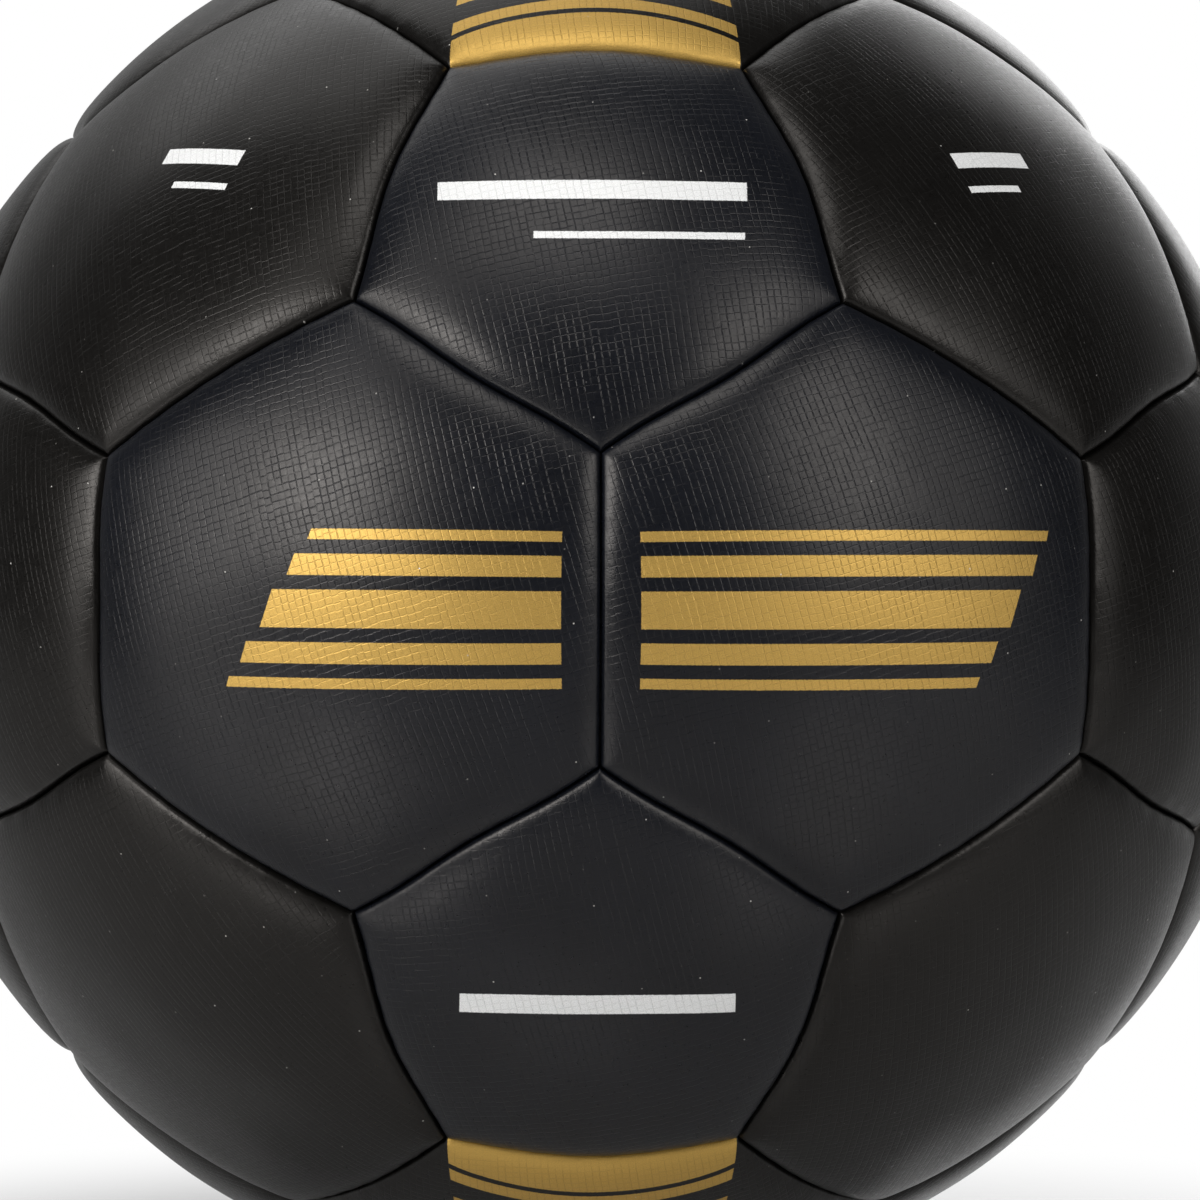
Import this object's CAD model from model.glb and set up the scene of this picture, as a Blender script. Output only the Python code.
"""Looks of a stitched handball with thirty-two padded panels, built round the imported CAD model.

The ball's middle is the origin, +Z is up and -Y faces the viewer. Sizes are in millimetres in the
classes below, and turn into metres where a mesh is made.
"""

import logging
import math
from collections.abc import Callable
from dataclasses import dataclass, field
from enum import Enum

import bpy
import numpy as np
from mathutils import Matrix, Vector


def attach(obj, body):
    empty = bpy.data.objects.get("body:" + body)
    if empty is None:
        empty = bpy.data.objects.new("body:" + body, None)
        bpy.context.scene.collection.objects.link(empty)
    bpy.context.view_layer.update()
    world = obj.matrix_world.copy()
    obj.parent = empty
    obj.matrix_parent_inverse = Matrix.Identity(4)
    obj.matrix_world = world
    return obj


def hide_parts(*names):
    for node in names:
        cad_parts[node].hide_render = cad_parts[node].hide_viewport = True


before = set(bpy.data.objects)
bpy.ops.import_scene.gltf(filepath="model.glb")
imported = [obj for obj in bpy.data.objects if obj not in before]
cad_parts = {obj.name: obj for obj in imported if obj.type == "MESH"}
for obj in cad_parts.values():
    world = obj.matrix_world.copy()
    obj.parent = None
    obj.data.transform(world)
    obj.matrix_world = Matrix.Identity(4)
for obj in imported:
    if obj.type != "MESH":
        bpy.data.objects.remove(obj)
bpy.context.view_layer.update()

LOG = logging.getLogger("handball")
MM = 0.001
BALL_BODY = "ball"
SKIN_SEED = 11
BACKING_SEED = 111

# A truncated icosahedron's corner distance over its side, and half the angle that a side spans
PHI = (1 + math.sqrt(5)) / 2
SEAM_NETWORK_SHARE = math.sqrt(9 * PHI + 10) / 2
SEAM_HALF = math.asin(0.5 / SEAM_NETWORK_SHARE)

UPRIGHT_UV = "upright"
GRAIN_UV = "grain"
EDGE_DISTANCE = "edge_mm"


def unit(vector: tuple | np.ndarray) -> np.ndarray:
    """Gives a vector at unit length."""
    vector = np.asarray(vector, float)
    return vector / np.linalg.norm(vector)


class Cut(Enum):
    """The two cuts of panel, each with its number of sides."""

    PENTAGON = 5
    HEXAGON = 6

    @property
    def seam_angle(self) -> float:
        """Finds how far a panel reaches round the ball.

        Returns:
            The angle at the ball's middle between the panel's middle and the middle of its side.
        """
        side_share = 0.5 / math.tan(math.pi / self.value)
        corner_share = 0.5 / math.sin(math.pi / self.value)
        return math.atan(side_share / math.sqrt(SEAM_NETWORK_SHARE ** 2 - corner_share ** 2))


@dataclass(frozen=True)
class BallSizes:
    """Sizes that the CAD model and its looks share, in millimetres."""

    ball_r: float = 94.0
    crown_drop: float = 0.9
    shoulder_r: float = 2.4
    edge_gap: float = 0.1
    skin_t: float = 1.5
    glue_line: float = 0.1
    foam_in_r: float = 89.6
    lining_in_r: float = 87.9
    pad_inset: float = 2.55
    stitch_r: float = 88.9
    stitch_pitch: float = 4.7
    stitches_each_way: int = 3
    strand_x: float = 1.95
    strand_w: float = 1.0
    strand_t: float = 0.6
    strand_past: float = 1.05
    crossing_d: float = 0.7
    bladder_out_r: float = 87.75
    bladder_in_r: float = 86.65
    valve_hole_r: float = 4.7
    patch_room_r: float = 14.3
    body_room_r: float = 4.3

    def crown_centre(self, cut: Cut) -> float:
        """How far out on a panel's axis the middle of its crown's sphere lies."""
        seam_r = self.ball_r - self.crown_drop
        return (self.ball_r ** 2 - seam_r ** 2) / (2 * (self.ball_r - seam_r * math.cos(cut.seam_angle)))

    def crown_radius(self, cut: Cut, directions: np.ndarray) -> np.ndarray:
        """Measures out to a panel's crown.

        Args:
            cut: Cut of the panel.
            directions: Unit directions in the panel's frame.

        Returns:
            The distance from the ball's middle to the crown in each direction.
        """
        centre = self.crown_centre(cut)
        across = directions[:, 2]
        return centre * across + np.sqrt((self.ball_r - centre) ** 2 - centre ** 2 * (1 - across ** 2))


@dataclass(frozen=True)
class PanelPlace:
    """Where one panel lies on the ball, and how far its leather's grain is turned, in degrees."""

    name: str
    cut: Cut
    direction: tuple
    grain_turn: float

    @property
    def axis(self) -> np.ndarray:
        """Direction of the panel's middle."""
        return unit(self.direction)

    def upright(self) -> tuple:
        """Gives the panel's level and rising directions, as a viewer in front of it sees them."""
        rising = unit(np.array([0, 0, 1.0]) - self.axis[2] * self.axis)
        return np.cross(rising, self.axis), rising


PENTAGONS = [
    PanelPlace(f"{side}_pentagon", Cut.PENTAGON, direction, grain_turn)
    for side, direction, grain_turn in (
        ("front_upper", (0, -PHI, 1), 10.5),
        ("front_lower", (0, -PHI, -1), 14.0),
        ("back_upper", (0, PHI, 1), 12.0),
        ("back_lower", (0, PHI, -1), 8.0),
        ("top_left", (-1, 0, PHI), 40.0),
        ("top_right", (1, 0, PHI), 22.0),
        ("bottom_left", (-1, 0, -PHI), 35.0),
        ("bottom_right", (1, 0, -PHI), 12.0),
        ("left_front", (-PHI, -1, 0), 20.0),
        ("left_back", (-PHI, 1, 0), 27.0),
        ("right_front", (PHI, -1, 0), 15.0),
        ("right_back", (PHI, 1, 0), 31.0),
    )
]
HEXAGONS = [
    PanelPlace(f"{side}_hexagon", Cut.HEXAGON, direction, grain_turn)
    for side, direction, grain_turn in (
        ("front_left", (-1 / PHI, -PHI, 0), 17.0),
        ("front_right", (1 / PHI, -PHI, 0), 16.0),
        ("back_left", (-1 / PHI, PHI, 0), 17.0),
        ("back_right", (1 / PHI, PHI, 0), 15.0),
        ("top_front", (0, -1 / PHI, PHI), 4.0),
        ("top_back", (0, 1 / PHI, PHI), 7.0),
        ("bottom_front", (0, -1 / PHI, -PHI), 6.0),
        ("bottom_back", (0, 1 / PHI, -PHI), 3.0),
        ("left_upper", (-PHI, 0, 1 / PHI), 24.0),
        ("left_lower", (-PHI, 0, -1 / PHI), 33.0),
        ("right_upper", (PHI, 0, 1 / PHI), 18.0),
        ("right_lower", (PHI, 0, -1 / PHI), 28.0),
        ("front_left_upper", (-1, -1, 1), 29.0),
        ("front_left_lower", (-1, -1, -1), 21.0),
        ("front_right_upper", (1, -1, 1), 13.0),
        ("front_right_lower", (1, -1, -1), 26.0),
        ("back_left_upper", (-1, 1, 1), 16.0),
        ("back_left_lower", (-1, 1, -1), 9.0),
        ("back_right_upper", (1, 1, 1), 30.0),
        ("back_right_lower", (1, 1, -1), 19.0),
    )
]
VALVE_PANEL = "back_left_upper_hexagon"
BELT = {
    f"{end}_{panel}"
    for end in ("front", "back")
    for panel in ("left_hexagon", "right_hexagon", "upper_pentagon", "lower_pentagon")
}


def side_direction(place: PanelPlace) -> np.ndarray:
    """Finds the way from a panel's middle to the middle of one of its sides.

    Args:
        place: Place of the panel.

    Returns:
        The unit direction, square to the panel's axis, to its first neighbour of the other cut.
    """
    others = PENTAGONS if place.cut is Cut.HEXAGON else HEXAGONS
    within = math.cos(Cut.PENTAGON.seam_angle + Cut.HEXAGON.seam_angle + SEAM_HALF)
    towards = next(other.axis for other in others if other.axis @ place.axis > within)
    return unit(towards - (towards @ place.axis) * place.axis)


@dataclass
class MeshParts:
    """Points and faces that are gathered before they become one Blender mesh."""

    points: list = field(default_factory=list)
    faces: list = field(default_factory=list)
    count: int = 0

    def add(self, points: np.ndarray) -> np.ndarray:
        """Adds points and gives their indices.

        Args:
            points: Points in millimetres, one row each.

        Returns:
            The index of each new point.
        """
        start = self.count
        self.points.append(np.asarray(points, float))
        self.count += len(points)
        return np.arange(start, self.count)

    def join_rings(self, first: np.ndarray, second: np.ndarray) -> None:
        """Joins two rings with quads, outward where both turn clockwise as seen from beyond the second."""
        after_first, after_second = np.roll(first, -1), np.roll(second, -1)
        self.faces.extend(np.stack([first, second, after_second, after_first], axis=1).tolist())

    def join_run(self, rings: list, flip: bool = False) -> None:
        """Joins a run of rings, each to the next, with the quads turned over where flip is set."""
        for pair in zip(rings[:-1], rings[1:]):
            self.join_rings(*(reversed(pair) if flip else pair))

    def tube(self, rings: list) -> None:
        """Joins a run of rings and closes both of its ends flat.

        Args:
            rings: Indices round each ring.
        """
        self.join_run(rings)
        self.faces.append(rings[0].tolist())
        self.faces.append(rings[-1][::-1].tolist())

    def cap(self, ring: np.ndarray, middle: int, flip: bool = False) -> None:
        """Closes a ring with a fan to one middle point.

        Args:
            ring: Indices round the ring.
            middle: Index of the middle point.
            flip: Whether the fan is turned over.
        """
        after = np.roll(ring, -1)
        order = (after, ring) if flip else (ring, after)
        middles = np.full(len(ring), middle)
        self.faces.extend(np.stack([order[0], middles, order[1]], axis=1).tolist())

    def stacked(self) -> np.ndarray:
        """Gives all points as one array."""
        return np.concatenate(self.points)


def make_object(
    name: str,
    parts: MeshParts,
    layers: dict | None = None,
    edge: np.ndarray | None = None,
    sharp_angle: float = 50.0,
) -> bpy.types.Object:
    """Turns gathered points and faces into a smooth-shaded object.

    Args:
        name: Name of the new object.
        parts: Its points in millimetres and its faces.
        layers: Flat coordinates of each point, by the name of their UV layer.
        edge: Distance of each point from the nearest seam, in millimetres.
        sharp_angle: Edges that bend more than this many degrees stay sharp.

    Returns:
        The object, linked to the scene.
    """
    mesh = bpy.data.meshes.new(name)
    mesh.from_pydata((parts.stacked() * MM).tolist(), [], parts.faces)
    corner_points = np.empty(len(mesh.loops), dtype=np.int32)
    mesh.loops.foreach_get("vertex_index", corner_points)
    for layer_name, flat in (layers or {}).items():
        layer = mesh.uv_layers.new(name=layer_name)
        layer.data.foreach_set("uv", np.asarray(flat, np.float32)[corner_points].ravel())
    if edge is not None:
        attribute = mesh.attributes.new(EDGE_DISTANCE, "FLOAT", "POINT")
        attribute.data.foreach_set("value", np.asarray(edge, np.float32))
    mesh.polygons.foreach_set("use_smooth", np.ones(len(mesh.polygons), dtype=bool))
    mesh.set_sharp_from_angle(angle=math.radians(sharp_angle))
    mesh.update()
    made = bpy.data.objects.new(name, mesh)
    bpy.context.scene.collection.objects.link(made)
    return made


NOISE_RANGE = (0.3, 0.7)
Feed = float | tuple | bpy.types.NodeSocket


class Wiring:
    """Builds the node tree of one material, or of the world."""

    def __init__(self, name: str) -> None:
        """Starts an empty material.

        Args:
            name: Name of the material.
        """
        self.material = bpy.data.materials.new(name)
        self.material.use_nodes = True
        self.tree = self.material.node_tree
        self.tree.nodes.clear()

    @classmethod
    def of(cls, tree: bpy.types.NodeTree) -> "Wiring":
        """Starts on a tree that is there already.

        Args:
            tree: The tree, which is emptied.

        Returns:
            The wiring.
        """
        wiring = cls.__new__(cls)
        wiring.material, wiring.tree = None, tree
        tree.nodes.clear()
        return wiring

    def add(self, kind: str, inputs: dict | None = None, **settings: str) -> bpy.types.Node:
        """Adds a node.

        Args:
            kind: Blender's name for the node type.
            inputs: Value or socket for each named or numbered input.
            **settings: Properties of the node.

        Returns:
            The new node.
        """
        node = self.tree.nodes.new(kind)
        for key, value in settings.items():
            setattr(node, key, value)
        for key, value in (inputs or {}).items():
            self.feed(node.inputs[key], value)
        return node

    def feed(self, socket: bpy.types.NodeSocket, value: Feed) -> None:
        """Links a socket to an input, or sets the input's own value.

        Args:
            socket: The input.
            value: Value or socket that feeds it.
        """
        if isinstance(value, bpy.types.NodeSocket):
            self.tree.links.new(value, socket)
        else:
            socket.default_value = value

    def math(self, operation: str, *values: Feed) -> bpy.types.NodeSocket:
        """Gives the result of one sum on numbers or sockets."""
        return self.add("ShaderNodeMath", dict(enumerate(values)), operation=operation).outputs[0]

    def blend(self, factor: Feed, first: Feed, second: Feed) -> bpy.types.NodeSocket:
        """Mixes two numbers, by the share of the second."""
        node = self.add("ShaderNodeMix", {0: factor, 2: first, 3: second}, data_type="FLOAT")
        return node.outputs[0]

    def tint(self, factor: Feed, first: Feed, second: Feed, mode: str = "MIX") -> bpy.types.NodeSocket:
        """Mixes two colours, by the share of the second, in one of Blender's ways."""
        node = self.add("ShaderNodeMix", {0: factor, 6: first, 7: second}, data_type="RGBA", blend_type=mode)
        return node.outputs[2]

    def ease(
        self, value: Feed, low: float, high: float, start: float = 0.0, end: float = 1.0
    ) -> bpy.types.NodeSocket:
        """Runs smoothly from one result to another while a value passes from low to high.

        Args:
            value: The value.
            low: Value at which the run starts.
            high: Value at which it ends.
            start: Result at low and below.
            end: Result at high and above.

        Returns:
            The socket of the result.
        """
        inputs = {"Value": value, "From Min": low, "From Max": high, "To Min": start, "To Max": end}
        node = self.add("ShaderNodeMapRange", inputs, interpolation_type="SMOOTHSTEP")
        return node.outputs["Result"]

    def over(self, noise: Feed, start: float, end: float) -> bpy.types.NodeSocket:
        """Runs from one result to another over the range that a noise mostly keeps to."""
        return self.ease(noise, *NOISE_RANGE, start, end)

    def noise(
        self, vector: Feed, scale: float, detail: float = 2.0, rough: float = 0.5, output: int | str = 0
    ) -> bpy.types.NodeSocket:
        """Gives a noise's number at a place, or its colour where that output is named."""
        inputs = {"Vector": vector, "Scale": scale, "Detail": detail, "Roughness": rough}
        return self.add("ShaderNodeTexNoise", inputs).outputs[output]

    def vector(self, operation: str, *values: Feed) -> bpy.types.NodeSocket:
        """Gives the result of one sum on vectors."""
        return self.add("ShaderNodeVectorMath", dict(enumerate(values)), operation=operation).outputs[0]

    def split(self, vector: Feed) -> tuple:
        """Gives the three numbers of a vector."""
        return tuple(self.add("ShaderNodeSeparateXYZ", {0: vector}).outputs)

    def grey(self, value: Feed) -> bpy.types.NodeSocket:
        """Makes a grey from a number."""
        return self.add("ShaderNodeCombineColor", {0: value, 1: value, 2: value}).outputs[0]

    def shaded(self, colour: Feed, shade: Feed) -> bpy.types.NodeSocket:
        """Darkens or lightens a colour by a factor."""
        return self.tint(1.0, colour, self.grey(shade), "MULTIPLY")

    def flat(self, layer: str) -> bpy.types.NodeSocket:
        """Reads a UV layer."""
        return self.add("ShaderNodeUVMap", uv_map=layer).outputs["UV"]

    def place(self) -> bpy.types.NodeSocket:
        """Reads the place on the object, in metres."""
        return self.add("ShaderNodeTexCoord").outputs["Object"]

    def bump(self, height: Feed, depth_mm: float, normal: Feed | None = None) -> bpy.types.NodeSocket:
        """Turns a height into a relief.

        Args:
            height: Height as a share of the depth.
            depth_mm: Depth of the relief in millimetres.
            normal: Normal that it adds to.

        Returns:
            The socket of the normal.
        """
        inputs = {"Height": height, "Distance": depth_mm * MM, "Strength": 1.0}
        if normal is not None:
            inputs["Normal"] = normal
        return self.add("ShaderNodeBump", inputs).outputs["Normal"]

    def surface(
        self, colour: Feed, roughness: Feed, normal: Feed, metallic: Feed = 0.0, **uniform: Feed
    ) -> bpy.types.Material:
        """Ends the tree in one principled surface.

        Args:
            colour: Base colour.
            roughness: Roughness.
            normal: Normal.
            metallic: Share of metal.
            **uniform: Values that are the same all over, with underscores for spaces in their names.

        Returns:
            The finished material.
        """
        inputs = {"Base Color": colour, "Roughness": roughness, "Metallic": metallic, "Normal": normal}
        for key, value in uniform.items():
            inputs[key.replace("_", " ")] = value
        shader = self.add("ShaderNodeBsdfPrincipled", inputs)
        self.add("ShaderNodeOutputMaterial", {"Surface": shader.outputs[0]})
        return self.material


@dataclass(frozen=True)
class Bar:
    """One printed bar on a panel, in the panel's upright millimetres."""

    left: float
    right: float
    low: float
    high: float
    left_slant: float = 0.0
    right_slant: float = 0.0
    bow: float = 0.0


class Ink(Enum):
    """The inks that are printed on the skins."""

    GOLD = "gold"
    WHITE = "white"


@dataclass(frozen=True)
class Leather:
    """Embossed synthetic leather, with or without print.

    The emboss is a grid of small squares whose upright grooves run on over several squares, while
    the level ones are fainter and break off. Depths are in millimetres, and the sizes of one square's
    parts are shares of its pitch. A noise is given by its scale, detail and roughness, and a fade by the
    two values that it runs between and the results at them.
    """

    colour: tuple
    roughness: float
    pitch: float = 0.94
    groove_depth: float = 0.025
    wanders: tuple = ((0.05, 0.9), (0.6, 0.14))
    row_shift: float = 0.22
    upright_width: float = 0.12
    upright_stretch: tuple = (0.9, 0.2, 1.0)
    upright_breaks: tuple = (0.36, 0.56, 0.35, 1.0)
    upright_dips: tuple = (0.02, 0.2, 0.3, 1.0)
    level_width: float = 0.11
    level_stretch: tuple = (0.45, 0.9, 1.0)
    level_breaks: tuple = (0.34, 0.6, 0.3, 0.75)
    pillow_height: float = 0.14
    pillow_low_end: float = 0.55
    grain_noise: tuple = (3.6, 3.0, 0.65)
    grain_height: float = 0.16
    pressed_fade: tuple = (0.3, 2.2, 0.25, 1.0)
    crease_noise: tuple = (1.1, 4.0, 0.62)
    wrinkle_fade: tuple = (0.4, 3.0, 1.0, 0.3)
    wrinkle_depth: float = 0.05
    cloud_noise: tuple = (0.05, 3.0)
    cloud_shades: tuple = (0.86, 1.14)
    roughness_spread: tuple = (-0.03, 0.04)
    groove_shade: float = 0.85
    gloss: float = 0.29
    gloss_tint: tuple = (1.0, 0.945, 0.89, 1.0)
    ink_colours: tuple = ((Ink.GOLD, (0.60, 0.375, 0.095, 1.0)), (Ink.WHITE, (0.88, 0.88, 0.87, 1.0)))
    ink_groove_shade: float = 0.8
    far_outside: float = -100.0
    ink_ragged: float = 0.16
    ink_ragged_scale: float = 3.5
    ink_rim: tuple = (-0.04, 0.07)
    flake_noise: tuple = (9.0, 3.0, 0.7)
    flake_shades: tuple = (0.74, 1.12)
    gold_metal: float = 0.62
    gold_roughness: tuple = (0.36, 0.5)
    dust_scale: float = 0.16
    dust_reach: tuple = (0.008, 0.022)
    dust_rarity: float = 7.0
    dust_colour: tuple = (0.6, 0.58, 0.54, 1.0)

    def relief(self, wiring: Wiring) -> tuple:
        """Builds the emboss.

        Args:
            wiring: Tree to build it in.

        Returns:
            The socket of the height, which is below 0 in the grooves, and that of the groove, from 0 to 1.
        """
        cells = wiring.vector("MULTIPLY", wiring.flat(GRAIN_UV), (1 / self.pitch, 1 / self.pitch, 1.0))
        moved = cells
        for scale, reach in self.wanders:
            wander = wiring.noise(cells, scale, 1.0, output="Color")
            shift = wiring.vector("SUBTRACT", wander, (0.5, 0.5, 0.5))
            moved = wiring.vector("MULTIPLY_ADD", shift, (reach, reach, 0.0), moved)
        column, row, _ = wiring.split(moved)
        step = wiring.add(
            "ShaderNodeTexWhiteNoise", {"W": wiring.math("FLOOR", column)}, noise_dimensions="1D"
        ).outputs["Value"]
        across = wiring.math("PINGPONG", column, 0.5)
        along = wiring.math("PINGPONG", wiring.math("MULTIPLY_ADD", step, self.row_shift, row), 0.5)
        upright_run = wiring.noise(wiring.vector("MULTIPLY", cells, self.upright_stretch), 1.0, 1.0)
        level_run = wiring.noise(wiring.vector("MULTIPLY", cells, self.level_stretch), 1.0, 1.0)
        upright = wiring.math(
            "MULTIPLY",
            wiring.ease(across, 0.0, self.upright_width, 1.0, 0.0),
            wiring.ease(upright_run, *self.upright_breaks),
        )
        upright = wiring.math("MULTIPLY", upright, wiring.ease(along, *self.upright_dips))
        level = wiring.math(
            "MULTIPLY",
            wiring.ease(along, 0.0, self.level_width, 1.0, 0.0),
            wiring.ease(level_run, *self.level_breaks),
        )
        groove = wiring.math("MAXIMUM", upright, level)
        pillow = wiring.math(
            "MULTIPLY",
            wiring.ease(across, 0.0, 0.5, 0.0, self.pillow_height),
            wiring.ease(along, 0.0, 0.5, self.pillow_low_end, 1.0),
        )
        grain = wiring.noise(cells, *self.grain_noise)
        raised = wiring.math("MULTIPLY_ADD", grain, self.grain_height, pillow)
        return wiring.math("SUBTRACT", raised, groove), groove

    def printed(self, wiring: Wiring, bars: tuple) -> bpy.types.NodeSocket:
        """Builds the mask of the print, with the slightly ragged edge of screen ink.

        Args:
            wiring: Tree to build it in.
            bars: Bars printed on the panel.

        Returns:
            A socket that is 1 where a bar is printed and 0 elsewhere.
        """
        spot = wiring.flat(UPRIGHT_UV)
        level, height, _ = wiring.split(spot)
        inside = self.far_outside
        for bar in bars:
            rising = height
            if bar.bow:
                rising = wiring.math("MULTIPLY_ADD", wiring.math("MULTIPLY", level, level), bar.bow, height)
            left = wiring.math("MULTIPLY_ADD", rising, bar.left_slant, bar.left)
            right = wiring.math("MULTIPLY_ADD", rising, bar.right_slant, bar.right)
            from_left = wiring.math("SUBTRACT", level, left)
            from_right = wiring.math("SUBTRACT", right, level)
            off_middle = wiring.math("ABSOLUTE", wiring.math("SUBTRACT", rising, (bar.low + bar.high) / 2))
            from_end = wiring.math("MINIMUM", from_left, from_right)
            from_long_side = wiring.math("SUBTRACT", (bar.high - bar.low) / 2, off_middle)
            inside = wiring.math("MAXIMUM", inside, wiring.math("MINIMUM", from_end, from_long_side))
        lumps = wiring.noise(spot, self.ink_ragged_scale)
        ragged = wiring.math("MULTIPLY_ADD", lumps, self.ink_ragged, -self.ink_ragged / 2)
        return wiring.ease(wiring.math("ADD", inside, ragged), *self.ink_rim)

    def dusted(self, wiring: Wiring, spot: Feed, colour: Feed) -> bpy.types.NodeSocket:
        """Puts a few pale specks of dust on a colour.

        Args:
            wiring: Tree to build them in.
            spot: Place on the panel.
            colour: Colour that they lie on.

        Returns:
            The socket of the dusted colour.
        """
        inputs = {"Vector": spot, "Scale": self.dust_scale, "Randomness": 1.0}
        dust = wiring.add("ShaderNodeTexVoronoi", inputs, voronoi_dimensions="2D")
        speck = wiring.ease(dust.outputs["Distance"], *self.dust_reach, 1.0, 0.0)
        draw = wiring.add("ShaderNodeSeparateColor", {0: dust.outputs["Color"]}).outputs[0]
        chance = wiring.math("POWER", draw, self.dust_rarity)
        return wiring.tint(wiring.math("MULTIPLY", speck, chance), colour, self.dust_colour)

    def made(self, name: str, ink: Ink | None = None, bars: tuple = ()) -> bpy.types.Material:
        """Builds the material.

        Args:
            name: Name of the material.
            ink: Ink of the bars.
            bars: Bars printed on the panel.

        Returns:
            The material.
        """
        wiring = Wiring(name)
        spot = wiring.flat(UPRIGHT_UV)
        edge = wiring.add("ShaderNodeAttribute", attribute_name=EDGE_DISTANCE).outputs["Fac"]
        height, groove = self.relief(wiring)
        pressed = wiring.ease(edge, *self.pressed_fade)
        groove = wiring.math("MULTIPLY", groove, pressed)
        normal = wiring.bump(wiring.math("MULTIPLY", height, pressed), self.groove_depth)
        crease = wiring.noise(spot, *self.crease_noise)
        wrinkle = wiring.math("MULTIPLY", crease, wiring.ease(edge, *self.wrinkle_fade))
        normal = wiring.bump(wrinkle, self.wrinkle_depth, normal)
        shade = wiring.over(wiring.noise(spot, *self.cloud_noise), *self.cloud_shades)
        shade = wiring.math("MULTIPLY", shade, wiring.blend(groove, 1.0, self.groove_shade))
        colour = wiring.shaded(self.colour, shade)
        roughness = wiring.over(crease, *(self.roughness + spread for spread in self.roughness_spread))
        metallic = 0.0
        if ink is not None:
            mask = self.printed(wiring, bars)
            flake = wiring.noise(spot, *self.flake_noise)
            lift = wiring.blend(groove, 1.0, self.ink_groove_shade)
            lift = wiring.math("MULTIPLY", wiring.over(flake, *self.flake_shades), lift)
            colour = wiring.tint(mask, colour, wiring.shaded(dict(self.ink_colours)[ink], lift))
            if ink is Ink.GOLD:
                metallic = wiring.math("MULTIPLY", mask, self.gold_metal)
                roughness = wiring.blend(mask, roughness, wiring.over(flake, *self.gold_roughness))
        colour = self.dusted(wiring, spot, colour)
        return wiring.surface(
            colour, roughness, normal, metallic, Specular_Tint=self.gloss_tint, Specular_IOR_Level=self.gloss
        )


@dataclass(frozen=True)
class Foam:
    """Fine open-cell foam."""

    colour: tuple = (0.78, 0.74, 0.66, 1.0)
    hollow_shade: float = 0.72
    hollow_reach: tuple = (0.1, 0.55)
    cell: float = 0.6
    depth: float = 0.12
    cloud_noise: tuple = (40.0, 3.0)
    cloud_shades: tuple = (0.5, 1.0)
    roughness: float = 0.9
    gloss: float = 0.2

    def made(self, name: str) -> bpy.types.Material:
        """Builds the material.

        Args:
            name: Name of the material.

        Returns:
            The material.
        """
        wiring = Wiring(name)
        spot = wiring.place()
        cells = wiring.add("ShaderNodeTexVoronoi", {"Vector": spot, "Scale": 1 / (self.cell * MM)})
        hollow = wiring.ease(cells.outputs["Distance"], *self.hollow_reach)
        cloud = wiring.over(wiring.noise(spot, *self.cloud_noise), *self.cloud_shades)
        dark = tuple(self.hollow_shade * c for c in self.colour[:3]) + (1.0,)
        colour = wiring.tint(wiring.math("MULTIPLY", hollow, cloud), dark, self.colour)
        relief = wiring.bump(hollow, self.depth)
        return wiring.surface(colour, self.roughness, relief, Specular_IOR_Level=self.gloss)


@dataclass(frozen=True)
class LiningCloth:
    """Plain-woven cotton and polyester cloth in glued layers."""

    colour: tuple = (0.82, 0.80, 0.74, 1.0)
    thread: float = 0.5
    depth: float = 0.12
    slub_stretch: tuple = (0.05, 1.0, 1.0)
    slub_scale: float = 0.7
    hollow_shade: float = 0.62
    weave_shade: float = 0.2
    slub_shade: float = 0.35
    roughness: float = 0.85
    sheen: float = 0.2
    gloss: float = 0.25

    def made(self, name: str) -> bpy.types.Material:
        """Builds the material.

        Args:
            name: Name of the material.

        Returns:
            The material.
        """
        wiring = Wiring(name)
        threads = wiring.vector("MULTIPLY", wiring.flat(GRAIN_UV), (1 / self.thread, 1 / self.thread, 1.0))
        column, row, _ = wiring.split(threads)
        warp = wiring.math("SINE", wiring.math("MULTIPLY", column, math.pi))
        weft = wiring.math("SINE", wiring.math("MULTIPLY", row, math.pi))
        weave = wiring.math("MULTIPLY_ADD", wiring.math("MULTIPLY", warp, weft), 0.5, 0.5)
        slub = wiring.noise(wiring.vector("MULTIPLY", threads, self.slub_stretch), self.slub_scale)
        shade = wiring.math("MULTIPLY_ADD", weave, self.weave_shade, self.hollow_shade)
        shade = wiring.math("MULTIPLY_ADD", slub, self.slub_shade, shade)
        return wiring.surface(
            wiring.shaded(self.colour, shade),
            self.roughness,
            wiring.bump(weave, self.depth),
            Sheen_Weight=self.sheen,
            Specular_IOR_Level=self.gloss,
        )


@dataclass(frozen=True)
class WaxedThread:
    """Waxed polyester thread of twisted plies."""

    colour: tuple = (0.03, 0.03, 0.032, 1.0)
    ply_lift: float = 1.5
    plies_in_twist: float = 3.0
    twist: float = 2.2
    depth: float = 0.1
    fibre_scale: float = 6000.0
    fibre_height: float = 0.2
    roughness: tuple = (0.42, 0.6)

    def made(self, name: str) -> bpy.types.Material:
        """Builds the material.

        Args:
            name: Name of the material.

        Returns:
            The material.
        """
        wiring = Wiring(name)
        turn, along, _ = wiring.split(wiring.flat(UPRIGHT_UV))
        turn = wiring.math("MULTIPLY", turn, self.plies_in_twist)
        turn = wiring.math("MULTIPLY_ADD", along, self.plies_in_twist / self.twist, turn)
        ply = wiring.ease(wiring.math("PINGPONG", turn, 0.5), 0.0, 0.5)
        fibre = wiring.noise(wiring.place(), self.fibre_scale)
        light = tuple(self.ply_lift * c for c in self.colour[:3]) + (1.0,)
        return wiring.surface(
            wiring.tint(ply, self.colour, light),
            wiring.over(fibre, *self.roughness),
            wiring.bump(wiring.math("MULTIPLY_ADD", fibre, self.fibre_height, ply), self.depth),
        )


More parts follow.
